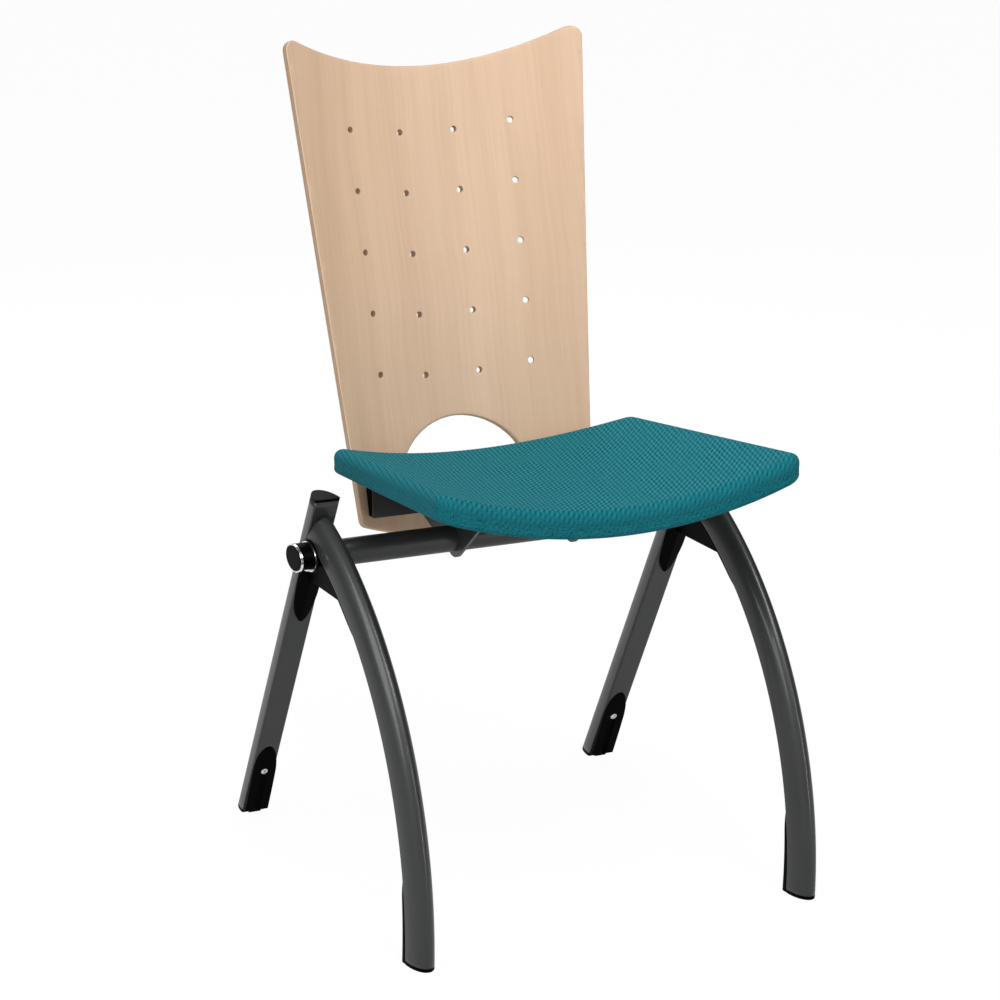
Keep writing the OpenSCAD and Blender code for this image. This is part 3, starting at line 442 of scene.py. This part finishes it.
def moulded_black():
    """Black moulded plastic: the tool's fine texture, slight clouds, and edges that look a little round."""
    made = Finish("moulded_black", Specular_IOR_Level=0.015)
    place = made.place()
    grain = made.noise(place, 2600.0, detail=2.0)
    drift = made.noise(place, 30.0)
    base = made.mix(drift, BLACK_DARK, BLACK_PALE)
    edge = made.node("ShaderNodeBevel", {"samples": 4}, {"Radius": MOULD_EDGE})
    texture = made.bump(grain, 0.00004, 0.3, edge)
    return made.put(Base_Color=base, Roughness=0.36 + 0.1 * grain, Normal=texture)


dress("plastic", moulded_black())


# Knob rings and washers
# Bright plated rings: a thin washer under each side knob, the ring round its black face, and the one
# that shows through its sleeve's window. They keep their CAD shape.
CHROME_DARK = (0.78, 0.78, 0.79)
CHROME_PALE = (0.9, 0.9, 0.91)


def polished_chrome():
    """Bright chrome plate with faint turning marks."""
    made = Finish("polished_chrome", Metallic=1.0)
    marks = made.noise(made.stretched(made.place(), (900, 20, 20)), 1.0, detail=2.0)
    return made.put(Base_Color=made.mix(marks, CHROME_DARK, CHROME_PALE), Roughness=0.1 + 0.12 * marks)


dress("chrome", polished_chrome())


# Screws, bolts, inserts and bar plugs
# Steel with a pale zinc plate: the fasteners of the glides, the blocks, the back and the seat, and the
# threaded plugs in the cross-bar's ends, which the knobs' studs draw on. They keep their CAD shape.
ZINC_DARK = (0.5, 0.5, 0.51)
ZINC_PALE = (0.72, 0.72, 0.73)


def zinc_plate():
    """Zinc plate, pale grey with a cloudy sheen."""
    made = Finish("zinc_plate", Metallic=1.0)
    cloud = made.noise(made.place(), 700.0, detail=4.0)
    return made.put(Base_Color=made.mix(cloud, ZINC_DARK, ZINC_PALE), Roughness=0.3 + 0.2 * cloud)


dress("zinc", zinc_plate())


# Back panel
# One sheet of bent beech plywood with a hollow top edge, twenty vent holes and a hand hole, bolted to
# the two blocks. The sitter's side shows an upright-grained veneer, and the routed edges the plies.
BACK_H = 0.588
BACK_FOOT_W = 0.295
BACK_TOP_W = 0.380
BACK_T = 0.012
BACK_R = 0.320
BACK_LEAN = math.radians(14.6)
BACK_TOP_R = 0.505
BACK_LOW_R = 0.490
TOP_CORNER = 0.013
LOW_CORNER = 0.010
BACK_EDGE = 0.0022
BLOCK_BEHIND_BAR = 0.092
BACK_BEHIND_BLOCK = 0.0308
BLOCK_OVER_BAR = 0.0082
BACK_BELOW_BLOCK = 0.0417
BACK_FOOT_Y = HUB_Y + BLOCK_BEHIND_BAR + BACK_BEHIND_BLOCK
BACK_FOOT_Z = HUB_Z + BLOCK_OVER_BAR - BACK_BELOW_BLOCK
back_rise = (BACK_TOP_W - BACK_FOOT_W) / 2 / BACK_H
top_reach = math.sqrt((BACK_TOP_R + TOP_CORNER) ** 2 - (BACK_TOP_W / 2 - TOP_CORNER) ** 2)
top_centre = BACK_H - TOP_CORNER + top_reach


def fillet_centre(half, rise, centre, radius, pick):
    """Where the line x = half + rise * y meets a circle about (0, centre): pick -1 is the lower point."""
    k = 1 + rise ** 2
    m = half * rise - centre
    q = half * half + centre * centre - radius ** 2
    y = (-m + pick * math.sqrt(m * m - k * q)) / k
    return np.array([half + rise * y, y])


def arc(centre, radius, start, stop, count):
    """Points on a circle between two angles in radians."""
    turn = np.linspace(start, stop, count)
    return np.asarray(centre) + radius * np.stack([np.cos(turn), np.sin(turn)], -1)


def mirrored(right):
    """A closed loop from its right half, whose first and last points lie on the middle line."""
    return np.concatenate([right, (right[1:-1] * [-1, 1])[::-1]])


def back_outline(inset):
    """The panel's outline, counter-clockwise, moved inwards by a distance: a convex arc below, slanting
    sides and a hollow arc above, joined by fillets."""
    slant = math.sqrt(1 + back_rise ** 2)
    half = BACK_FOOT_W / 2 - inset * slant
    low_r, top_r = BACK_LOW_R - inset, BACK_TOP_R + inset
    low_f, top_f = LOW_CORNER - inset, TOP_CORNER - inset
    low = fillet_centre(half - low_f * slant, back_rise, BACK_LOW_R, low_r - low_f, -1)
    top = fillet_centre(half - top_f * slant, back_rise, top_centre, top_r + top_f, -1)
    side_a = math.atan2(-back_rise, 1)
    low_a = math.atan2(low[1] - BACK_LOW_R, low[0])
    top_a = math.atan2(top[1] - top_centre, top[0])
    outward = np.array([math.cos(side_a), math.sin(side_a)])
    return mirrored(np.concatenate([arc((0, BACK_LOW_R), low_r, -math.pi / 2, low_a, 28),
                                    arc(low, low_f, low_a, side_a, 10)[1:],
                                    np.linspace(low + low_f * outward, top + top_f * outward, 60)[1:-1],
                                    arc(top, top_f, side_a, top_a + math.pi, 14),
                                    arc((0, top_centre), top_r, top_a, -math.pi / 2, 36)[1:]]))


HAND_R = 0.086
HAND_CENTRE = 0.054
HAND_BASE = 0.086
HAND_CORNER = 0.010


def hand_outline(grown):
    """The hand hole: an arc over a straight side with round corners, grown by a distance."""
    corner_r = HAND_CORNER + grown
    corner_y = HAND_BASE + HAND_CORNER - HAND_CENTRE
    corner_x = math.sqrt((HAND_R - HAND_CORNER) ** 2 - corner_y ** 2)
    turn = math.atan2(corner_y, corner_x)
    right = arc((corner_x, HAND_BASE + HAND_CORNER), corner_r, -math.pi / 2, turn, 12)
    top = arc((0, HAND_CENTRE), HAND_R + grown, turn, math.pi - turn, 60)[1:-1]
    return np.concatenate([right, top, (right * [-1, 1])[::-1]])


def bent(points, radial, depth):
    """Panel points (across, up) taken onto the bend, at a depth behind the front face. Holes run along
    the bend's radius and outlines run straight back, as a router cuts them."""
    across, up = points[:, 0], points[:, 1]
    radius = BACK_R + depth
    x = across * radius / BACK_R if radial else across
    back = np.sqrt(radius ** 2 - x ** 2) - BACK_R
    y = BACK_FOOT_Y + back * math.cos(BACK_LEAN) + up * math.sin(BACK_LEAN)
    z = BACK_FOOT_Z - back * math.sin(BACK_LEAN) + up * math.cos(BACK_LEAN)
    return np.stack([x, y, z], -1)


VENT_R = 0.00375
VENT_ROWS = 5
VENT_FIRST = 0.191
VENT_PITCH = 0.072
VENT_INNER_X = 0.0347
VENT_OUTER_X = 0.0975
VENT_SPREAD = 0.0014
VENT_RISE = 0.0054
HOLE_EDGE = 0.0005
vents = []
for row in range(VENT_ROWS):
    up = VENT_FIRST + row * VENT_PITCH
    for side in (-1, 1):
        vents += [(side * VENT_INNER_X, up), (side * (VENT_OUTER_X + row * VENT_SPREAD), up + VENT_RISE)]


def vent_outline(centre, grown):
    """A vent hole on the front face: round along the bend, so a little narrow across the panel."""
    ring = arc((0, 0), VENT_R + grown, 2 * math.pi, 0, 33)[:-1]
    angle = math.asin(centre[0] / BACK_R) + ring[:, 0] / BACK_R
    return np.stack([BACK_R * np.sin(angle), centre[1] + ring[:, 1]], -1)


def inside(points, loop):
    """Which points lie inside a loop: an odd number of its sides pass to their right."""
    a, b = loop, np.roll(loop, -1, 0)
    y = points[:, 1:2]
    spans = (a[:, 1] > y) != (b[:, 1] > y)
    rise = np.where(b[:, 1] == a[:, 1], 1, b[:, 1] - a[:, 1])
    cross = a[:, 0] + (y - a[:, 1]) * (b[:, 0] - a[:, 0]) / rise
    return (spans & (points[:, :1] < cross)).sum(1) % 2 == 1


def on_panel(points, loops):
    """Which points lie inside the outline and outside every hole."""
    keep = inside(points, loops[0])
    for hole in loops[1:]:
        keep &= ~inside(points, hole)
    return keep


GRID_STEP = 0.006
LEAST_GAP = GRID_STEP * 0.45


def panel_face(loops):
    """Triangles of the flat panel between its outline and its holes, on a grid of inner points."""
    outer = loops[0]
    x, y = np.meshgrid(np.arange(outer[:, 0].min(), outer[:, 0].max(), GRID_STEP),
                       np.arange(outer[:, 1].min(), outer[:, 1].max(), GRID_STEP))
    inner = np.stack([x.ravel(), y.ravel()], -1)
    inner = inner[on_panel(inner, loops)]
    border = np.concatenate(loops)
    gap = np.min(np.linalg.norm(inner[:, None, :] - border[None, :, :], axis=2), axis=1)
    points = np.concatenate([border, inner[gap > LEAST_GAP]])
    starts = np.cumsum([0] + [len(loop) for loop in loops])
    edges = [(int(start + i), int(start + (i + 1) % len(loop)))
             for start, loop in zip(starts, loops) for i in range(len(loop))]
    made = delaunay_2d_cdt([Vector(point) for point in points.tolist()], edges, [], 0, 1e-7)
    flat = np.array([tuple(point) for point in made[0]])
    faces = np.array(made[2])
    return flat, faces[on_panel(flat[faces].mean(1), loops)]


VENT_CALM = 0.016
VENT_BLEND = 0.010


def bent_face(flat, depth):
    """A face's points on the bend. Points near a vent hole follow the radius, the others run straight."""
    straight = bent(flat, False, depth)
    radial = bent(flat, True, depth)
    share = np.zeros(len(flat))
    for centre in vents:
        far = np.hypot(flat[:, 0] - centre[0], flat[:, 1] - centre[1])
        share = np.maximum(share, np.clip((VENT_CALM - far) / VENT_BLEND, 0, 1))
    across = straight[:, 0] + (radial[:, 0] - straight[:, 0]) * share
    return bent(np.stack([across, flat[:, 1]], -1), False, depth)


def back_mesh():
    """Front and back faces, and walls with eased edges round the outline and through every hole."""
    cuts = [(back_outline, BACK_EDGE, False), (hand_outline, BACK_EDGE, False)]
    cuts += [(lambda grown, centre=centre: vent_outline(centre, grown), HOLE_EDGE, True) for centre in vents]
    flat, face = panel_face([outline(edge) for outline, edge, _ in cuts])
    points = [bent_face(flat, depth) for depth in (0.0, BACK_T)]
    faces = [face, face + len(flat)]
    total = 2 * len(flat)
    for outline, edge, radial in cuts:
        turn = np.linspace(0, math.pi / 2, 6)
        offsets = edge * (1 - np.sin(turn))
        depths = edge * (1 - np.cos(turn))
        rows = [*zip(offsets, depths), *zip(offsets[::-1], BACK_T - depths[::-1])]
        wall = [bent(outline(offset), radial, depth) for offset, depth in rows]
        faces.append(grid_faces(len(wall), len(wall[0]), close_columns=True) + total)
        total += len(wall) * len(wall[0])
        points.append(np.concatenate(wall))
    return np.concatenate(points), [face for group in faces for face in group]


FACE_PALE = (0.715, 0.502, 0.345)
FACE_DARK = (0.635, 0.432, 0.288)
FLECK = (0.45, 0.28, 0.17)
PLY_PALE = (0.56, 0.39, 0.26)
PLY_DARK = (0.36, 0.235, 0.15)
PLY_PITCH = 0.0028
VENEER_T = 0.0011
DEPTH_SHARE = 0.3
SWAY = 0.02
FIGURE_SHARE = 0.6
FACE_SPAN = (0.36, 0.62)
PORE_LEVEL = 0.62
PORE_SHARE = 0.12
PLY_SHARE = 0.8


def beech_plywood():
    """Pale beech: upright streaks, wavy figure and fine pores on the faces, and plies in the edges.

    A point's depth behind the front face is its distance from the bend's axis less the bend's radius."""
    made = Finish("beech_plywood", Specular_IOR_Level=0.3)
    x, y, z = made.split(made.place())
    behind = (y - BACK_FOOT_Y) * math.cos(BACK_LEAN) - (z - BACK_FOOT_Z) * math.sin(BACK_LEAN)
    up = (y - BACK_FOOT_Y) * math.sin(BACK_LEAN) + (z - BACK_FOOT_Z) * math.cos(BACK_LEAN)
    depth = ((behind + BACK_R) ** 2 + x * x) ** 0.5 - BACK_R
    inward = depth * DEPTH_SHARE
    upright = made.join(x, inward, up)
    sway = made.noise(made.stretched(upright, (3, 3, 5)), 1.0, detail=2.0) * SWAY
    waved = made.join(x + sway, inward, up)
    figure = made.noise(made.stretched(waved, (34, 34, 1.6)), 1.0, detail=3.0)
    streak = made.noise(made.stretched(waved, (260, 260, 5)), 1.0, detail=4.0, rough=0.6)
    pores = made.noise(made.stretched(upright, (1500, 1500, 110)), 1.0, detail=2.0)
    shade = figure * FIGURE_SHARE + streak * (1 - FIGURE_SHARE)
    face = made.ramp(shade, (FACE_SPAN[0], FACE_DARK), (FACE_SPAN[1], FACE_PALE))
    flecked = made.mix((pores > PORE_LEVEL) * PORE_SHARE, face, FLECK)
    ply = made.node("ShaderNodeMath", {"operation": "SINE"}, {0: depth * (2 * math.pi / PLY_PITCH)}) > 0.0
    layers = made.mix(ply * PLY_SHARE + streak * (1 - PLY_SHARE), PLY_DARK, PLY_PALE)
    core = (depth > VENEER_T) * (depth < BACK_T - VENEER_T)
    base = made.mix(core, flecked, layers)
    return made.put(Base_Color=base, Roughness=0.45 + 0.1 * streak, Normal=made.bump(pores, 0.00004, 0.25))


add_piece("back_plywood", *back_mesh(), beech_plywood(), "beech", ["back_panel"])


# Seat board
# The bent plywood that carries the foam, stained black and dull, with four inserts for the carriers'
# screws. It keeps its CAD shape.
BOARD_T = 0.010
BOARD_INSET = 0.009
BOARD_DARK = (0.008, 0.008, 0.008)
BOARD_PALE = (0.02, 0.018, 0.017)


def stained_board():
    """Plywood stained black: dull, with faint grain across the chair."""
    made = Finish("stained_board", Specular_IOR_Level=0.3)
    grain = made.noise(made.stretched(made.place(), (12, 260, 260)), 1.0, detail=4.0)
    base = made.mix(grain, BOARD_DARK, BOARD_PALE)
    return made.put(Base_Color=base, Roughness=0.6 + 0.1 * grain, Normal=made.bump(grain, 0.0001, 0.3))


dress("board", stained_board())


# Seat pad
# Foam round the seat board, under one teal woven cover that is drawn tight over the edges. The top is a
# trough across its width and slopes down to the rear.
SEAT_OVER_BAR = 0.079
SEAT_Z = HUB_Z + SEAT_OVER_BAR
SEAT_SLOPE = math.radians(3.83)
SEAT_R = 0.640
SEAT_T = 0.0309
SEAT_FRONT_W = 0.4382
SEAT_REAR_W = 0.3885
SEAT_FRONT = 0.2855
SEAT_REAR = 0.0757
SEAT_FRONT_BOW = 0.0055
SEAT_REAR_BOW = 0.045
SEAT_CORNER = 0.021
PAD_TOP_R = 0.014
PAD_LOW_R = 0.005
PAD_DRAW = 0.0003
PAD_CROWN = 0.0015
BOARD_GAP = 0.0003
seat_rise = -(SEAT_FRONT_W - SEAT_REAR_W) / 2 / (SEAT_FRONT + SEAT_REAR)
seat_half = SEAT_FRONT_W / 2 + seat_rise * SEAT_FRONT
seat_mid = (SEAT_REAR - SEAT_FRONT) / 2


def bow_radius(half, bow):
    """Radius of the arc over a chord of twice that half width, with that rise."""
    return (half * half + bow * bow) / (2 * bow)


def seat_ring(inset):
    """The pad's outline in plan, from the middle of its front edge, moved inwards by a distance: two bowed
    ends and two slanting sides, joined by fillets."""
    slant = math.sqrt(1 + seat_rise ** 2)
    half = seat_half - inset * slant
    fillet = SEAT_CORNER - inset
    front_r = bow_radius(SEAT_FRONT_W / 2, SEAT_FRONT_BOW)
    rear_r = bow_radius(SEAT_REAR_W / 2, SEAT_REAR_BOW)
    low_c = front_r - SEAT_FRONT - SEAT_FRONT_BOW
    high_c = SEAT_REAR + SEAT_REAR_BOW - rear_r
    low_r, high_r = front_r - inset, rear_r - inset
    low = fillet_centre(half - fillet * slant, seat_rise, low_c, low_r - fillet, -1)
    high = fillet_centre(half - fillet * slant, seat_rise, high_c, high_r - fillet, 1)
    side_a = math.atan2(-seat_rise, 1)
    low_a = math.atan2(low[1] - low_c, low[0])
    high_a = math.atan2(high[1] - high_c, high[0])
    edge = np.array([math.cos(side_a), math.sin(side_a)]) * fillet
    return mirrored(np.concatenate([arc((0, low_c), low_r, -math.pi / 2, low_a, 40),
                                    arc(low, fillet, low_a, side_a, 14)[1:],
                                    np.linspace(low + edge, high + edge, 60)[1:-1],
                                    arc(high, fillet, side_a, high_a, 12),
                                    arc((0, high_c), high_r, high_a, math.pi / 2, 36)[1:]]))


def seat_height(x, y):
    """Height of the trough over a point of the plan, y being measured from the cross-bar's axis."""
    hollow = SEAT_R - np.sqrt(SEAT_R ** 2 - x ** 2)
    return SEAT_Z - y * math.tan(SEAT_SLOPE) + hollow / math.cos(SEAT_SLOPE)


def seat_row(inset, lift, share=1.0):
    """A ring of the pad, moved inwards, shrunk to a share about its middle and lifted off the trough."""
    ring = seat_ring(inset)
    x = ring[:, 0] * share
    y = seat_mid + (ring[:, 1] - seat_mid) * share
    return np.stack([x, HUB_Y + y, seat_height(x, y) + lift], -1)


RECESS_ROWS = 12
LIP_ROWS = 2
LOW_ROWS = 8
SIDE_ROWS = 6
EDGE_ROWS = 12
CROWN_ROWS = 43
POLE_SHARE = 0.02
RIM = RECESS_ROWS + LIP_ROWS + LOW_ROWS + SIDE_ROWS + EDGE_ROWS - 1


def pad_rows():
    """Rows of the pad from the middle of its recess, round the lower edge, up the side and over the top."""
    ceiling = BOARD_T + BOARD_GAP - SEAT_T
    rows = [seat_row(BOARD_INSET, ceiling, share) for share in np.linspace(POLE_SHARE, 1, RECESS_ROWS)]
    for share in np.linspace(0, 1, LIP_ROWS + 1)[1:]:
        rows.append(seat_row(BOARD_INSET, ceiling + (-SEAT_T - ceiling) * share))
    for turn in np.linspace(0, math.pi / 2, LOW_ROWS):
        rows.append(seat_row(PAD_LOW_R * (1 - math.sin(turn)), PAD_LOW_R * (1 - math.cos(turn)) - SEAT_T))
    low, high = PAD_LOW_R - SEAT_T, -PAD_TOP_R
    for share in np.linspace(0, 1, SIDE_ROWS + 2)[1:-1]:
        rows.append(seat_row(PAD_DRAW * math.sin(math.pi * share), low + (high - low) * share))
    for turn in np.linspace(0, math.pi / 2, EDGE_ROWS):
        rows.append(seat_row(PAD_TOP_R * (1 - math.cos(turn)), PAD_TOP_R * (math.sin(turn) - 1)))
    for share in np.linspace(1, POLE_SHARE, CROWN_ROWS + 1)[1:]:
        rows.append(seat_row(PAD_TOP_R, PAD_CROWN * (1 - share * share), share))
    return np.stack(rows)


def pad_mesh(rows):
    """The rows as a closed surface, with a fan of triangles round a point at each end."""
    count = rows.shape[1]
    around = np.arange(count)
    following = (around + 1) % count
    points = np.concatenate([rows.reshape(-1, 3), [rows[0].mean(0), rows[-1].mean(0)]])
    last = (len(rows) - 1) * count
    low_fan = np.stack([np.full(count, len(points) - 2), following, around], -1)
    high_fan = np.stack([np.full(count, len(points) - 1), last + around, last + following], -1)
    return points, [*grid_faces(len(rows), count, close_columns=True), *low_fan, *high_fan]


def cloth_plan(rows):
    """Where each point lay on the flat cover: its plan on top, and past the rim the length that it has
    been drawn over the edge, laid straight outwards."""
    plan = rows[:, :, :2].copy()
    outward = rows[RIM - EDGE_ROWS + 1, :, :2] - rows[RIM, :, :2]
    outward /= np.linalg.norm(outward, axis=1, keepdims=True)
    steps = np.linalg.norm(np.diff(rows[:RIM + 1], axis=0), axis=2)
    drawn = np.cumsum(steps[::-1], axis=0)[::-1]
    plan[:RIM] = rows[RIM, :, :2] + outward * drawn[:, :, None]
    return plan


def mark_cloth(pad, rows):
    """Gives each point the cover's flat x and y, and its share of the top: 1 on top to 0 below the rim."""
    plan = cloth_plan(rows)
    flat = np.concatenate([plan.reshape(-1, 2), [plan[0].mean(0), plan[-1].mean(0)]])
    # This share lifts the top's cloth with painted light and deepens the painted shade in its furrows; below
    # the rim the sides are painted darker, as painted shade.
    share = np.clip((np.arange(len(rows)) - RIM + EDGE_ROWS) / EDGE_ROWS, 0, 1)
    top_share = np.append(np.repeat(share, rows.shape[1]), [0, 1])
    cloth = pad.data.attributes.new("cloth", "FLOAT_VECTOR", "POINT")
    cloth.data.foreach_set("vector", np.column_stack([flat, top_share]).ravel())


WARP = 0.0054
WARP_TURN = math.radians(-15)
WEFT = 0.0055
WEFT_TURN = math.radians(-45)
WAVER = 0.35
# The cloth's level: the sides are painted darker than the top, as painted shade, and the top is lifted by
# painted light.
SIDE_LEVEL = 0.37
TOP_PAINTED_LIGHT = 0.17
# Painted shade in the furrows between the threads, deeper on the top than on the sides.
SIDE_FURROW_SHADE = 0.06
TOP_FURROW_SHADE = 0.30
PATCH_LEAST = 0.1
PATCH_GAIN = 1.9
FIBRE_SHARE = 1.1
RIB_SHARE = 0.5
TEAL_DARK = (0.002, 0.024, 0.034)
TEAL_PALE = (0.016, 0.280, 0.342)


def teal_weave():
    """Teal upholstery cloth: two sets of threads that cross at a slant, with painted shade in the furrows
    between them.

    The pattern reads the cloth attribute: the cover's own plan before it was drawn over the edges, and
    its share of the top. The top is lifted with painted light and its furrows take deeper painted shade,
    and the sides are painted darker, as painted shade."""
    made = Finish("teal_weave", Specular_IOR_Level=0.03, Sheen_Weight=0.02, Sheen_Roughness=0.5)
    cloth = made.node("ShaderNodeAttribute", {"attribute_name": "cloth"}, output=1)
    x, y, top_share = made.split(cloth)
    waver = made.noise(cloth, 120.0, detail=1.0) * WAVER
    furrows = 0.0
    for pitch, turn in ((WARP, WARP_TURN), (WEFT, WEFT_TURN)):
        run = x * math.cos(turn) + y * math.sin(turn)
        wave = made.node("ShaderNodeMath", {"operation": "COSINE"}, {0: (run / pitch + waver) * math.pi})
        furrows = wave * wave + furrows
    ribs = made.noise(made.stretched(cloth, (60, 900, 60)), 1.0, detail=2.0)
    fibre = made.noise(cloth, 420.0, detail=4.0, rough=0.65)
    patchy = made.noise(cloth, 16.0, detail=1.0)
    # Painted shade in the furrows between the threads, deeper on the top than on the sides.
    depth = (SIDE_FURROW_SHADE + TOP_FURROW_SHADE * top_share) * (PATCH_LEAST + PATCH_GAIN * patchy)
    # Painted light lifts the top above the sides, which are painted darker as painted shade.
    level = SIDE_LEVEL + TOP_PAINTED_LIGHT * top_share + (1.0 - furrows) * depth
    shade = level + (fibre - 0.5) * FIBRE_SHARE + (ribs - 0.5) * RIB_SHARE
    base = made.ramp(shade, (0.0, TEAL_DARK), (1.0, TEAL_PALE))
    return made.put(Base_Color=base, Roughness=0.85, Normal=made.bump(shade, 0.0004, 0.5))


rows = pad_rows()
pad = add_piece("seat_pad", *pad_mesh(rows), teal_weave(), "fabric", ["seat_cushion"])
mark_cloth(pad, rows)
